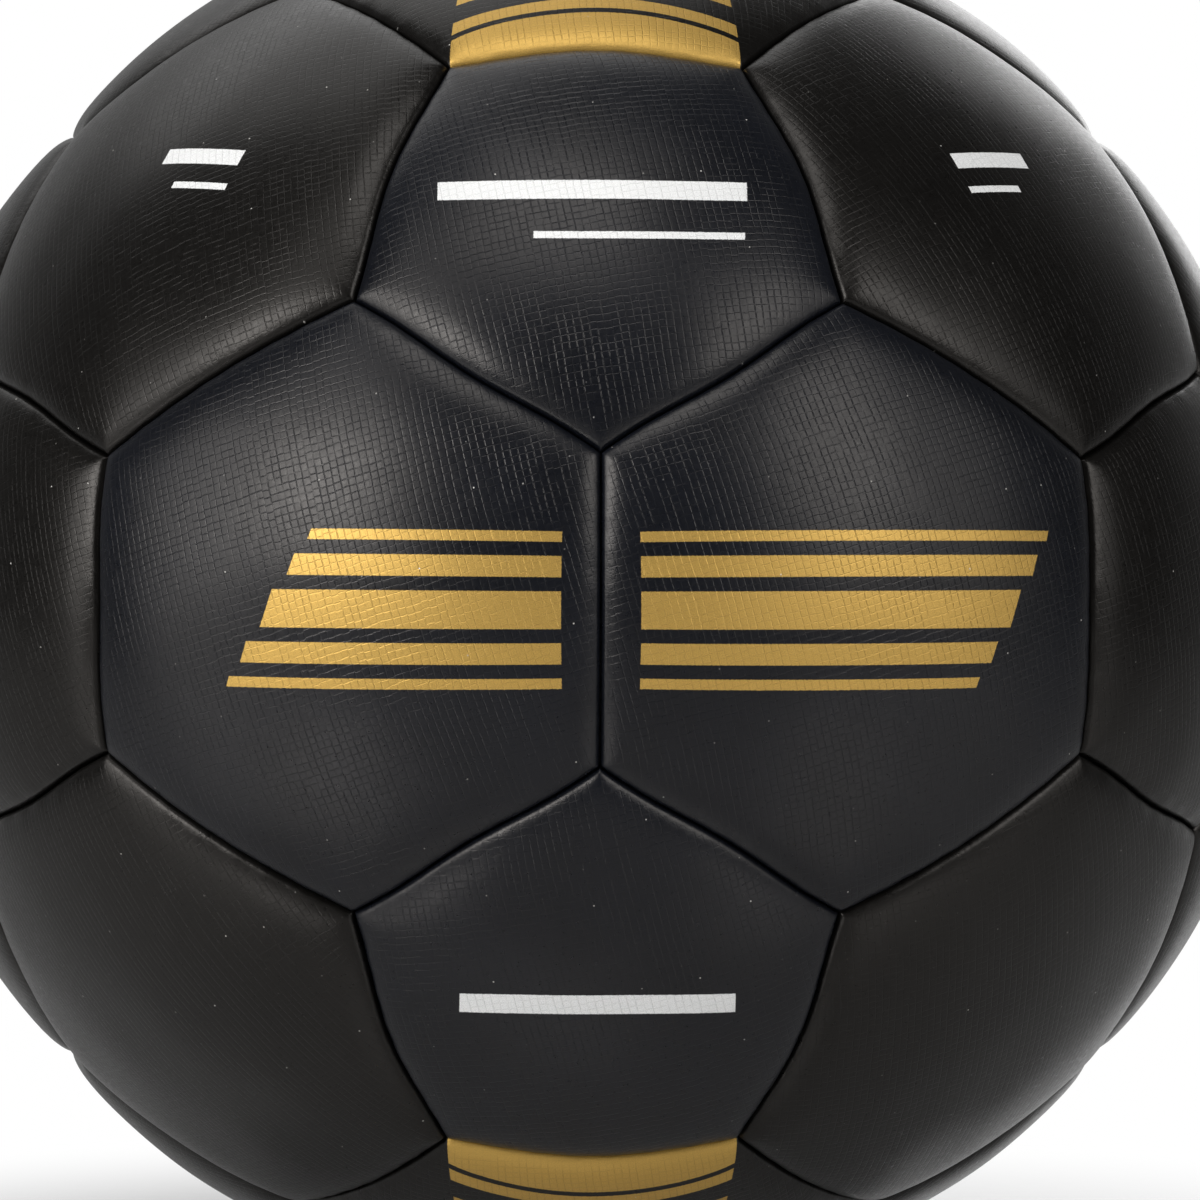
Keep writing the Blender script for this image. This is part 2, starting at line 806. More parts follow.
@dataclass(frozen=True)
class Rubber:
    """Moulded rubber with a fine bloom."""

    colour: tuple
    roughness: float
    grain_mm: float = 0.8
    grain_detail: tuple = (4.0, 0.6)
    depth: float = 0.04
    cloud_noise: tuple = (60.0, 3.0)
    cloud_reach: tuple = (0.35, 0.75)
    bloom_gain: float = 1.35
    bloom_lift: float = 0.01
    roughness_spread: tuple = (-0.06, 0.08)

    def made(self, name: str) -> bpy.types.Material:
        """Builds the material.

        Args:
            name: Name of the material.

        Returns:
            The material.
        """
        wiring = Wiring(name)
        spot = wiring.place()
        grain = wiring.noise(spot, 1 / (self.grain_mm * MM), *self.grain_detail)
        cloud = wiring.noise(spot, *self.cloud_noise)
        bloom = tuple(min(1.0, self.bloom_gain * c + self.bloom_lift) for c in self.colour[:3]) + (1.0,)
        colour = wiring.tint(wiring.ease(cloud, *self.cloud_reach), self.colour, bloom)
        roughness = wiring.over(grain, *(self.roughness + spread for spread in self.roughness_spread))
        return wiring.surface(colour, roughness, wiring.bump(grain, self.depth))


STRIPE_SPANS = ((27.7, 38.0), (24.6, 26.8), (19.3, 21.0))
STRIPE_HALF, STRIPE_SPREAD, STRIPE_BOW = 14.9, 0.134, 0.0078
BAND_SPANS = ((-2.3, 2.3, 0.0), (4.0, 6.6, 1.3), (8.3, 9.6, 2.3), (-6.6, -4.0, -1.3), (-9.6, -8.3, -2.3))
BAND_REACH, LEFT_BAND_START, RIGHT_BAND_END = 29.5, -7.0, 19.5
BAND_SLANT = 0.36
BAR_BOW = 0.0038


def edge_stripes(rise: int) -> tuple:
    """Makes the stripes near the ball's top or foot.

    Args:
        rise: -1 for the stripes below the top, 1 for those above the foot.

    Returns:
        The bars of the stripes.
    """
    return tuple(
        Bar(
            -STRIPE_HALF,
            STRIPE_HALF,
            min(rise * low, rise * high),
            max(rise * low, rise * high),
            -rise * STRIPE_SPREAD,
            rise * STRIPE_SPREAD,
            -rise * STRIPE_BOW,
        )
        for low, high in STRIPE_SPANS
    )


PRINTS = {
    "top_front_hexagon": (Ink.GOLD, edge_stripes(-1)),
    "bottom_front_hexagon": (Ink.GOLD, edge_stripes(1)),
    "front_left_hexagon": (
        Ink.GOLD,
        tuple(
            Bar(LEFT_BAND_START + inset, BAND_REACH, low, high, BAND_SLANT)
            for low, high, inset in BAND_SPANS
        ),
    ),
    "front_right_hexagon": (
        Ink.GOLD,
        tuple(
            Bar(-BAND_REACH, RIGHT_BAND_END + inset, low, high, 0.0, BAND_SLANT)
            for low, high, inset in BAND_SPANS
        ),
    ),
    "front_upper_pentagon": (
        Ink.WHITE,
        (Bar(-19.8, 18.2, -0.1, 2.7, bow=-BAR_BOW), Bar(-8.0, 17.8, -5.7, -4.7, bow=-BAR_BOW)),
    ),
    "front_lower_pentagon": (Ink.WHITE, (Bar(-16.8, 17.0, 0.3, 3.1, bow=BAR_BOW),)),
    "front_left_upper_hexagon": (Ink.WHITE, (Bar(0.0, 13.0, 0.6, 3.0), Bar(4.0, 13.0, -3.2, -2.2))),
    "front_right_upper_hexagon": (Ink.WHITE, (Bar(-12.0, 1.0, 0.6, 3.0), Bar(-12.0, -3.0, -3.2, -2.2))),
}


@dataclass(frozen=True)
class SeamBulge:
    """Bows each side of the pentagons outward, as their tight pads push it, and draws the corners in."""

    reach: float = 0.45
    spread: float = 7.0
    calm_sine: float = 0.15
    least_sine: float = 1e-6
    ball_r: float = BallSizes.ball_r

    def moved(self, points: np.ndarray) -> np.ndarray:
        """Moves points of the ball round its middle, without changing how far out they lie.

        Args:
            points: Points of any piece of the ball, in millimetres.

        Returns:
            The moved points.
        """
        radii = np.linalg.norm(points, axis=1)[:, None]
        heads = points / radii
        shifted = heads.copy()
        for place in PENTAGONS:
            first = side_direction(place)
            cosine = np.clip(heads @ place.axis, -1, 1)
            angle = np.arccos(cosine)
            sine = np.maximum(np.sin(angle), self.least_sine)
            turn = np.arctan2(heads @ np.cross(place.axis, first), heads @ first)
            nearness = np.exp(-((angle - Cut.PENTAGON.seam_angle) / math.radians(self.spread)) ** 2)
            push = self.reach / self.ball_r * nearness * np.minimum(sine / self.calm_sine, 1.0) ** 2
            push = push * np.cos(Cut.PENTAGON.value * turn)
            shifted += push[:, None] * (heads * cosine[:, None] - place.axis) / sine[:, None]
        return radii * shifted / np.linalg.norm(shifted, axis=1)[:, None]


class Layer(Enum):
    """The layers that back a skin."""

    FOAM = "foam"
    LINING = "lining"


@dataclass
class FaceGrid:
    """The flat points of a panel's outer face, its faces, and the points round its rim and its hole."""

    flat: np.ndarray
    faces: list
    rim: np.ndarray
    hole: np.ndarray | None = None


@dataclass
class PanelSewing:
    """Makes the skins, foam pads and linings of the thirty-two panels."""

    sizes: BallSizes
    bulge: SeamBulge = SeamBulge()
    merge_digits: int = 5
    least_distance: float = 1e-4
    least_sine: float = 1e-9
    interior_lines: int = 15
    seam_zone: float = 5.0
    zone_distances: tuple = (4.2, 3.4, 2.7, 2.1, 1.6, 1.2, 0.85)
    tight_r: float = 0.55
    shoulder_steps: int = 8
    lip_drop: float = 1.15
    lip_reach: float = 2.0
    lip_room: float = 0.9
    corner_power: float = 5.0
    pucker: float = 0.12
    pucker_reach: float = 1.3
    pucker_pulls: tuple = (0.6, 1.2)
    unevenness: float = 0.06
    waves: int = 4
    wave_lengths: tuple = (11.0, 26.0)
    hole_shares: tuple = (0.0, 0.006, 0.014, 0.026, 0.045)
    hole_dip: float = 0.3
    hole_dip_reach: float = 0.35
    under_shares: tuple = (0.62, 0.3)
    pad_lines: int = 8
    pad_zone: float = 1.6
    pad_distances: tuple = (0.8, 0.3, 0.0)
    pad_softness: float = 0.35
    pad_softness_reach: float = 0.5
    pad_hole_shares: tuple = (0.0, 0.05)
    pad_under_shares: tuple = (1.0, 0.66, 0.33)
    grain_offsets: tuple = (40, 400)

    def lines(self, reach: float) -> np.ndarray:
        """Spaces the grid lines of a skin, with most of them near the seam.

        Args:
            reach: Distance from the panel's middle to its sides.

        Returns:
            The shares of the way out at which the lines lie.
        """
        rounding = self.tight_r * (1 - np.sin(np.linspace(0, math.pi / 2, self.shoulder_steps + 1)))
        near = np.concatenate([[self.seam_zone], self.zone_distances, rounding])
        inner = np.linspace(0, 1 - self.seam_zone / reach, self.interior_lines + 1)[:-1]
        return np.concatenate([inner, 1 - near / reach])

    def kites(self, cut: Cut, reach: float, lines: np.ndarray) -> FaceGrid:
        """Covers a regular polygon with one grid for each corner.

        Args:
            cut: Cut of the panel.
            reach: Distance from its middle to its sides.
            lines: Shares of the way out at which grid lines lie.

        Returns:
            The flat grid.
        """
        half = math.pi / cut.value
        last = len(lines) - 1
        out, over = np.meshgrid(lines, lines, indexing="ij")
        index = np.arange(len(lines) ** 2).reshape(len(lines), len(lines))
        quads = np.stack([index[:-1, :-1], index[1:, :-1], index[1:, 1:], index[:-1, 1:]], axis=-1)
        points, faces, rim = [], [], []
        for k in range(cut.value):
            turns = (2 * half * k, 2 * half * k + half, 2 * half * (k + 1))
            first, corner, second = (np.array([math.cos(a), math.sin(a)]) for a in turns)
            weights = (out * (1 - over), out * over, (1 - out) * over)
            ends = (reach * first, reach / math.cos(half) * corner, reach * second)
            points.append(sum(w[..., None] * e for w, e in zip(weights, ends)).reshape(-1, 2))
            start = k * index.size
            faces.append(quads.reshape(-1, 4) + start)
            rim.append(np.concatenate([index[last, :], index[last - 1:0:-1, last]]) + start)
        rounded = np.round(np.concatenate(points), self.merge_digits) + 0.0
        flat, merged = np.unique(rounded, axis=0, return_inverse=True)
        merged = merged.reshape(-1)
        return FaceGrid(flat, merged[np.concatenate(faces)].tolist(), merged[np.concatenate(rim)])

    def grid(self, cut: Cut, reach: float, lines: np.ndarray, hole_r: float, hole_shares: tuple) -> FaceGrid:
        """Covers a panel's outer face, in rings from its hole to its rim where it has a hole.

        Args:
            cut: Cut of the panel.
            reach: Distance from its middle to its sides.
            lines: Shares of the way out at which grid lines lie.
            hole_r: Radius of a hole in its middle, or 0.
            hole_shares: Shares of the way from the hole to the rim of the rings that lie near the hole.

        Returns:
            The flat grid.
        """
        whole = self.kites(cut, reach, lines)
        if not hole_r:
            return whole
        rim = whole.flat[whole.rim]
        mouth = hole_r * rim / np.linalg.norm(rim, axis=1)[:, None]
        shares = np.concatenate([hole_shares, lines[lines > 2 * hole_shares[-1]]])
        flat = np.concatenate([mouth + (rim - mouth) * share for share in shares])
        rings = np.arange(len(flat)).reshape(len(shares), -1)
        sheet = MeshParts()
        sheet.join_run(rings)
        return FaceGrid(flat, sheet.faces, rings[-1], rings[0])

    def reach(self, cut: Cut, inset: float) -> float:
        """Distance to a panel's sides on the flat plane that touches the ball, less an inset."""
        angle = cut.seam_angle - math.atan2(inset, self.sizes.ball_r - self.sizes.crown_drop)
        return self.sizes.ball_r * math.tan(angle)

    def directions(self, flat: np.ndarray) -> np.ndarray:
        """Unit directions of flat points, in the panel's frame."""
        rays = np.column_stack([flat, np.full(len(flat), self.sizes.ball_r)])
        return rays / np.linalg.norm(rays, axis=1)[:, None]

    def side_distances(self, cut: Cut, points: np.ndarray) -> tuple:
        """Measures points against each side.

        Args:
            cut: Cut of the panel.
            points: Points in the panel's frame.

        Returns:
            The distance from each seam plane, and the place along each seam.
        """
        turns = 2 * math.pi / cut.value * np.arange(cut.value)
        angle = cut.seam_angle
        outward = np.stack([
            math.cos(angle) * np.cos(turns),
            math.cos(angle) * np.sin(turns),
            np.full(cut.value, -math.sin(angle)),
        ])
        along = np.stack([-np.sin(turns), np.cos(turns), np.zeros(cut.value)])
        return -(points @ outward), points @ along

    def skin_heights(self, cut: Cut, directions: np.ndarray, rng: np.random.Generator) -> tuple:
        """Works out the outer surface of a skin.

        Args:
            cut: Cut of the panel.
            directions: Unit directions in the panel's frame.
            rng: Source of the panel's small differences.

        Returns:
            The distance of each point from the ball's middle, and from the nearest seam.
        """
        sizes = self.sizes
        crown = sizes.crown_radius(cut, directions)
        points = directions * crown[:, None]
        distance, along = self.side_distances(cut, points)
        distance = distance - sizes.edge_gap
        power = self.corner_power
        nearest = (np.clip(distance, self.least_distance, None) ** -power).sum(axis=1) ** (-1 / power)
        inside = np.clip(self.tight_r - nearest, 0, self.tight_r)
        drop = self.tight_r - np.sqrt(self.tight_r ** 2 - inside ** 2)
        drop = drop + self.lip_drop * np.exp(-nearest / self.lip_reach)
        pitch = sizes.stitch_pitch * sizes.ball_r / sizes.stitch_r
        pull = rng.uniform(*self.pucker_pulls, cut.value)
        waves = 0.5 + 0.5 * np.cos(2 * math.pi * along / pitch)
        spread = np.exp(-np.clip(distance, 0, None) / self.pucker_reach)
        drop = drop + self.pucker * (waves * spread * pull).sum(axis=1)
        for _ in range(self.waves):
            turn, phase = rng.uniform(0, 2 * math.pi, 2)
            length = rng.uniform(*self.wave_lengths)
            way = points[:, 0] * math.cos(turn) + points[:, 1] * math.sin(turn)
            wave = (1 + np.sin(2 * math.pi * way / length + phase)) / 2
            drop = drop + self.unevenness * length / self.wave_lengths[1] * wave
        return crown - drop, nearest

    def close(self, parts: MeshParts, grid: FaceGrid, steps: list, radius: Callable) -> None:
        """Closes a piece behind its outer face, ring after ring, to its hole or its middle.

        Args:
            parts: Mesh whose first points are the outer face's.
            grid: Grid of the outer face.
            steps: For each ring, its share of the rim's width or its flat points, and its radii's function.
            radius: Function from directions to radii for the last ring or point.
        """
        rim = grid.flat[grid.rim]
        if grid.hole is not None:
            steps = steps + [(grid.flat[grid.hole], radius)]
        ring = grid.rim
        for share, ring_radius in steps:
            directions = self.directions(rim * share if np.isscalar(share) else share)
            radii = np.broadcast_to(ring_radius(directions), len(directions))
            following = parts.add(directions * radii[:, None])
            parts.join_rings(ring, following)
            ring = following
        if grid.hole is not None:
            parts.join_rings(ring, grid.hole)
            return
        middle = np.array([[0.0, 0.0, 1.0]])
        parts.cap(ring, parts.add(middle * radius(middle))[0])

    def skin(self, cut: Cut, rng: np.random.Generator, hole_r: float = 0.0) -> tuple:
        """Builds one skin in its panel's frame.

        Args:
            cut: Cut of the panel.
            rng: Source of the panel's small differences.
            hole_r: Radius of a hole in its middle, or 0.

        Returns:
            The mesh parts and each point's distance from the nearest seam.
        """
        sizes = self.sizes
        reach = self.reach(cut, sizes.edge_gap)
        grid = self.grid(cut, reach, self.lines(reach), hole_r, self.hole_shares)
        directions = self.directions(grid.flat)
        radii, edge = self.skin_heights(cut, directions, rng)
        if hole_r:
            from_hole = np.linalg.norm(grid.flat, axis=1) - hole_r
            radii = radii - self.hole_dip * np.exp(-from_hole / self.hole_dip_reach)
        parts = MeshParts()
        parts.add(directions * radii[:, None])
        parts.faces.extend(grid.faces)
        lip_radii = (radii[grid.rim] + sizes.lining_in_r) / 2
        inner = self.reach(cut, sizes.edge_gap + sizes.skin_t) / reach
        rounded = self.reach(cut, sizes.edge_gap + sizes.shoulder_r) / reach

        def under(directions: np.ndarray) -> np.ndarray:
            """Radius of the skin's inner face."""
            return sizes.crown_radius(cut, directions) - sizes.skin_t

        steps = [
            (1.0, lambda d: lip_radii),
            (1.0, lambda d: sizes.lining_in_r),
            (inner, lambda d: sizes.lining_in_r),
            (inner, lambda d: under(d) - self.lip_room),
            (rounded, under),
        ]
        under_shares = self.under_shares[:1] if hole_r else self.under_shares
        self.close(parts, grid, steps + [(share, under) for share in under_shares], under)
        return parts, np.concatenate([edge, np.zeros(parts.count - len(edge))])

    def pad(self, cut: Cut, layer: Layer, hole_r: float = 0.0) -> MeshParts:
        """Builds one foam pad or lining in its panel's frame, with soft edges to its outer face.

        Args:
            cut: Cut of the panel.
            layer: Which of the two layers.
            hole_r: Radius of a hole in its middle, or 0.

        Returns:
            The mesh parts.
        """
        sizes = self.sizes
        reach = self.reach(cut, sizes.pad_inset)
        inner = np.linspace(0, 1 - self.pad_zone / reach, self.pad_lines)
        lines = np.concatenate([inner, 1 - np.array(self.pad_distances) / reach])
        grid = self.grid(cut, reach, lines, hole_r, self.pad_hole_shares)
        directions = self.directions(grid.flat)
        if layer is Layer.FOAM:
            outer = sizes.crown_radius(cut, directions) - sizes.skin_t - sizes.glue_line
            bottom = sizes.foam_in_r
        else:
            outer = np.full(len(directions), sizes.foam_in_r - sizes.glue_line)
            bottom = sizes.lining_in_r
        distance, _ = self.side_distances(cut, directions * outer[:, None])
        nearest = np.clip(distance.min(axis=1) - sizes.pad_inset, 0, None)
        outer = outer - self.pad_softness * np.exp(-nearest / self.pad_softness_reach)
        parts = MeshParts()
        parts.add(directions * outer[:, None])
        parts.faces.extend(grid.faces)
        shares = self.pad_under_shares
        if hole_r:
            shares = (1.0, (grid.flat[grid.hole] + grid.flat[grid.rim]) / 2)
        self.close(parts, grid, [(share, lambda d: bottom) for share in shares], lambda d: bottom)
        return parts

    def placed(self, place: PanelPlace, parts: MeshParts, rng: np.random.Generator) -> tuple:
        """Turns a panel's points from its own frame to the ball's.

        Args:
            place: Place of the panel.
            parts: Points in the panel's frame.
            rng: Source of the grain's offset.

        Returns:
            The points on the ball and their two sets of flat coordinates.
        """
        first = side_direction(place)
        second = np.cross(place.axis, first)
        points = self.bulge.moved(parts.stacked() @ np.stack([first, second, place.axis]))
        level, rising = place.upright()
        heads = points / np.linalg.norm(points, axis=1)[:, None]
        flat = np.column_stack([heads @ level, heads @ rising])
        sine = np.linalg.norm(flat, axis=1)
        bent = np.arcsin(np.clip(sine, 0, 1)) / np.maximum(sine, self.least_sine)
        stretch = np.where(sine > self.least_sine, bent, 1.0)
        upright = flat * stretch[:, None] * self.sizes.ball_r
        turn = math.radians(place.grain_turn)
        turned = np.column_stack([
            upright[:, 0] * math.cos(turn) + upright[:, 1] * math.sin(turn),
            upright[:, 1] * math.cos(turn) - upright[:, 0] * math.sin(turn),
        ])
        return points, {UPRIGHT_UV: upright, GRAIN_UV: turned + rng.uniform(*self.grain_offsets, 2)}


@dataclass
class SkinShop:
    """Makes and dresses the thirty-two skins."""

    sewing: PanelSewing
    belt: Leather = Leather((0.0046, 0.0055, 0.0083, 1.0), 0.3, gloss=0.33)
    side: Leather = Leather((0.0044, 0.0040, 0.0036, 1.0), 0.3, gloss=0.28, groove_depth=0.022)

    def material(self, place: PanelPlace) -> bpy.types.Material:
        """Gives a panel's leather, with its print where it has one.

        Args:
            place: Place of the panel.

        Returns:
            The material, which is made once for each leather and each print.
        """
        belt = place.name in BELT
        leather = self.belt if belt else self.side
        ink, bars = PRINTS.get(place.name, (None, ()))
        name = f"{place.name}_print" if ink else "belt_leather" if belt else "side_leather"
        return bpy.data.materials.get(name) or leather.made(name, ink, bars)

    def build(self) -> None:
        """Builds every skin, and replaces its CAD node."""
        for number, place in enumerate(PENTAGONS + HEXAGONS):
            rng = np.random.default_rng(SKIN_SEED + number)
            hole_r = self.sewing.sizes.valve_hole_r if place.name == VALVE_PANEL else 0.0
            parts, edge = self.sewing.skin(place.cut, rng, hole_r)
            points, layers = self.sewing.placed(place, parts, rng)
            ball_parts = MeshParts([points], parts.faces, parts.count)
            skin = make_object(f"{place.name}_skin", ball_parts, layers, edge)
            skin.data.materials.append(self.material(place))
            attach(skin, BALL_BODY)
            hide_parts(place.name)
            LOG.info("%s: %d faces", skin.name, len(skin.data.polygons))


@dataclass
class Backing:
    """Makes and dresses the foam pads and the linings."""

    sewing: PanelSewing
    foam: Foam = Foam()
    cloth: LiningCloth = LiningCloth()

    def layer(
        self, node: str, places: list, layer: Layer, material: bpy.types.Material, valve_r: float
    ) -> None:
        """Builds one layer of all panels of one cut.

        Args:
            node: CAD node that it replaces.
            places: The panels.
            layer: Which layer.
            material: What it is made of.
            valve_r: Radius of the valve's hole in this layer.
        """
        gathered = MeshParts()
        layers = {UPRIGHT_UV: [], GRAIN_UV: []}
        for number, place in enumerate(places):
            rng = np.random.default_rng(BACKING_SEED + number)
            hole_r = valve_r if place.name == VALVE_PANEL else 0.0
            parts = self.sewing.pad(place.cut, layer, hole_r)
            points, flats = self.sewing.placed(place, parts, rng)
            start = gathered.add(points)[0]
            gathered.faces.extend([[start + i for i in face] for face in parts.faces])
            for name, flat in flats.items():
                layers[name].append(flat)
        piece = make_object(f"{node}_soft", gathered, {name: np.concatenate(f) for name, f in layers.items()})
        piece.data.materials.append(material)
        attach(piece, BALL_BODY)
        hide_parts(node)
        LOG.info("%s: %d faces", piece.name, len(piece.data.polygons))

    def build(self) -> None:
        """Builds the pads and the linings of both cuts."""
        sizes = self.sewing.sizes
        foam, cloth = self.foam.made("pad_foam"), self.cloth.made("lining_cloth")
        self.layer("pentagon_foam_pads", PENTAGONS, Layer.FOAM, foam, 0.0)
        self.layer("hexagon_foam_pads", HEXAGONS, Layer.FOAM, foam, sizes.valve_hole_r)
        self.layer("pentagon_linings", PENTAGONS, Layer.LINING, cloth, 0.0)
        self.layer("hexagon_linings", HEXAGONS, Layer.LINING, cloth, sizes.patch_room_r)


@dataclass
class Lacing:
    """Makes and dresses the waxed thread in the seams."""

    sizes: BallSizes
    bulge: SeamBulge = SeamBulge()
    finish: WaxedThread = WaxedThread()
    strand_rings: int = 29
    strand_sides: int = 8
    strand_narrowing: tuple = (0.22, 0.12)
    crossing_sides: int = 6
    crossing_widths: tuple = ((-1, 0.8), (-0.5, 1.0), (0, 0.88), (0.5, 1.0), (1, 0.8))
    meeting_slack: float = 0.02

    def seams(self, first: list, second: list) -> list:
        """Finds where panels of two lists meet.

        Args:
            first: Panels on one side of the seams.
            second: Panels on the other side.

        Returns:
            For each seam its middle direction, the way across it and the way along it.
        """
        found = []
        for i, one in enumerate(first):
            for j, two in enumerate(second):
                if first is second and j <= i:
                    continue
                angles = one.cut.seam_angle + two.cut.seam_angle
                if abs(math.acos(np.clip(one.axis @ two.axis, -1, 1)) - angles) > self.meeting_slack:
                    continue
                along = unit(np.cross(one.axis, two.axis))
                middle = math.cos(one.cut.seam_angle) * one.axis
                middle = middle + math.sin(one.cut.seam_angle) * np.cross(along, one.axis)
                found.append((middle, np.cross(along, middle), along))
        return found

    def strand(self, parts: MeshParts, seam: tuple, side: int, flat: list) -> None:
        """Adds the strand along one side of a seam, which narrows where it dips into an awl hole.

        Args:
            parts: Mesh that takes it.
            seam: Middle direction of the seam, the way across it and the way along it.
            side: -1 or 1, the side of the seam.
            flat: List that takes the flat coordinates.
        """
        middle, across, along = seam
        sizes = self.sizes
        step = sizes.stitch_pitch / sizes.stitch_r
        half = sizes.stitches_each_way * step + sizes.strand_past / sizes.stitch_r
        turns = np.linspace(0, 2 * math.pi, self.strand_sides, endpoint=False)
        tall, wide = self.strand_narrowing
        rings = []
        for angle in np.linspace(-half, half, self.strand_rings):
            dip = 0.5 + 0.5 * math.cos(2 * math.pi * angle / step)
            ray = math.cos(angle) * middle + math.sin(angle) * along
            heights = sizes.stitch_r + sizes.strand_w / 2 * (1 - tall * dip) * np.sin(turns)
            asides = side * sizes.strand_x + sizes.strand_t / 2 * (1 - wide * dip) * np.cos(turns)
            rings.append(parts.add(heights[:, None] * ray + asides[:, None] * across))
            flat.append(np.column_stack([turns / (2 * math.pi), np.full(len(turns), angle * sizes.stitch_r)]))
        parts.tube(rings)

    def crossing(self, parts: MeshParts, seam: tuple, angle: float, flat: list) -> None:
        """Adds the crossing through one pair of awl holes, drawn tight in its middle.

        Args:
            parts: Mesh that takes it.
            seam: Middle direction of the seam, the way across it and the way along it.
            angle: Place along the seam, as an angle at the ball's middle.
            flat: List that takes the flat coordinates.
        """
        middle, across, along = seam
        sizes = self.sizes
        turns = np.linspace(0, 2 * math.pi, self.crossing_sides, endpoint=False)
        ray = math.cos(angle) * middle + math.sin(angle) * along
        around = np.outer(np.cos(turns), ray) + np.outer(np.sin(turns), np.cross(ray, across))
        rings = []
        for share, width in self.crossing_widths:
            aside = share * sizes.strand_x
            centre = sizes.stitch_r * ray + aside * across
            rings.append(parts.add(centre + sizes.crossing_d / 2 * width * around))
            flat.append(np.column_stack([turns / (2 * math.pi), np.full(len(turns), aside)]))
        parts.tube(rings)

    def lace(self, node: str, seams: list, material: bpy.types.Material) -> None:
        """Builds the lacing of all seams of one kind.

        Args:
            node: CAD node that it replaces.
            seams: The seams, as seams() gives them.
            material: What it is made of.
        """
        parts, flat = MeshParts(), []
        step = self.sizes.stitch_pitch / self.sizes.stitch_r
        reach = self.sizes.stitches_each_way
        for seam in seams:
            for side in (-1, 1):
                self.strand(parts, seam, side, flat)
            for stitch in range(-reach, reach + 1):
                self.crossing(parts, seam, stitch * step, flat)
        parts.points = [self.bulge.moved(parts.stacked())]
        piece = make_object(f"{node}_laced", parts, {UPRIGHT_UV: np.concatenate(flat)})
        piece.data.materials.append(material)
        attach(piece, BALL_BODY)
        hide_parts(node)
        LOG.info("%s: %d seams, %d faces", piece.name, len(seams), len(piece.data.polygons))

    def build(self) -> None:
        """Builds the lacing of all ninety seams."""
        material = self.finish.made("waxed_thread")
        self.lace("pentagon_seam_threads", self.seams(PENTAGONS, HEXAGONS), material)
        self.lace("hexagon_seam_threads", self.seams(HEXAGONS, HEXAGONS), material)


@dataclass
class Bladder:
    """Makes and dresses the bladder and dresses the valve."""

    sizes: BallSizes
    rubber: Rubber = Rubber((0.060, 0.045, 0.035, 1.0), 0.42)
    patch: Rubber = Rubber((0.120, 0.090, 0.070, 1.0), 0.6)
    housing: Rubber = Rubber((0.030, 0.030, 0.030, 1.0), 0.5, 0.4)
    plug: Rubber = Rubber((0.550, 0.420, 0.240, 1.0), 0.45, 0.3)
    meridians: int = 96
    rings_down: int = 46
    mould_line: float = 0.12
    mould_line_spread: float = 1.6

    def balloon(self) -> bpy.types.Object:
        """Builds the bladder: a closed wall round its air, open at the valve.

        Returns:
            The bladder's object.
        """
        sizes = self.sizes
        axis = next(p.axis for p in HEXAGONS if p.name == VALVE_PANEL)
        first = unit(np.cross(axis, (0, 0, 1)))
        second = np.cross(axis, first)
        turns = np.linspace(0, 2 * math.pi, self.meridians, endpoint=False)
        around = np.outer(np.cos(turns), first) + np.outer(np.sin(turns), second)
        parts = MeshParts()
        walls = []
        faces = ((sizes.bladder_out_r - self.mould_line, self.mould_line), (sizes.bladder_in_r, 0.0))
        for radius, raised in faces:
            start = math.asin(sizes.body_room_r / radius)
            angles = np.linspace(start, math.pi, self.rings_down + 1)[:-1]
            rings = []
            for angle in angles:
                off_line = math.degrees(angle - math.pi / 2)
                line = raised * math.exp(-(off_line / self.mould_line_spread) ** 2)
                ray = math.cos(angle) * axis + math.sin(angle) * around
                rings.append(parts.add((radius + line) * ray))
            walls.append((rings, parts.add(np.array([-radius * axis]))[0]))
        (outer, outer_pole), (inner, inner_pole) = walls
        parts.join_run(outer)
        parts.cap(outer[-1], outer_pole)
        parts.join_run(inner, flip=True)
        parts.cap(inner[-1], inner_pole, flip=True)
        parts.join_rings(inner[0], outer[0])
        return make_object("bladder_rubber_ball", parts)

    def dress(self, node: str, material: bpy.types.Material) -> None:
        """Gives a CAD node that stays its material.

        Args:
            node: Name of the node.
            material: What it is made of.
        """
        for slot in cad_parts[node].material_slots:
            slot.material = material
        LOG.info("%s: dressed", node)

    def build(self) -> None:
        """Builds the bladder and dresses the patch, the housing and the plug."""
        bladder = self.balloon()
        bladder.data.materials.append(self.rubber.made("bladder_rubber"))
        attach(bladder, BALL_BODY)
        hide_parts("bladder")
        LOG.info("%s: %d faces", bladder.name, len(bladder.data.polygons))
        self.dress("valve_patch", self.patch.made("patch_rubber"))
        self.dress("valve_housing", self.housing.made("housing_rubber"))
        self.dress("valve_plug", self.plug.made("plug_rubber"))


@dataclass
class Softbox:
    """One soft light that faces the ball."""

    name: str
    azimuth: float
    elevation: float
    distance: float
    width: float
    height: float
    level: float

    def build(self) -> None:
        """Makes the light, with its power set from the brightness of its face, where 1 is white."""
        a, e = math.radians(self.azimuth), math.radians(self.elevation)
        back = Vector((math.sin(a) * math.cos(e), -math.cos(a) * math.cos(e), math.sin(e)))
        light = bpy.data.lights.new(self.name, "AREA")
        light.shape = "RECTANGLE"
        light.size, light.size_y = self.width, self.height
        light.energy = self.level * math.pi * self.width * self.height
        made = bpy.data.objects.new(self.name, light)
        made.location = back * self.distance
        made.rotation_mode = "QUATERNION"
        made.rotation_quaternion = back.to_track_quat("Z", "Y")
        bpy.context.scene.collection.objects.link(made)
        LOG.info("%s: %.2f W", self.name, light.energy)


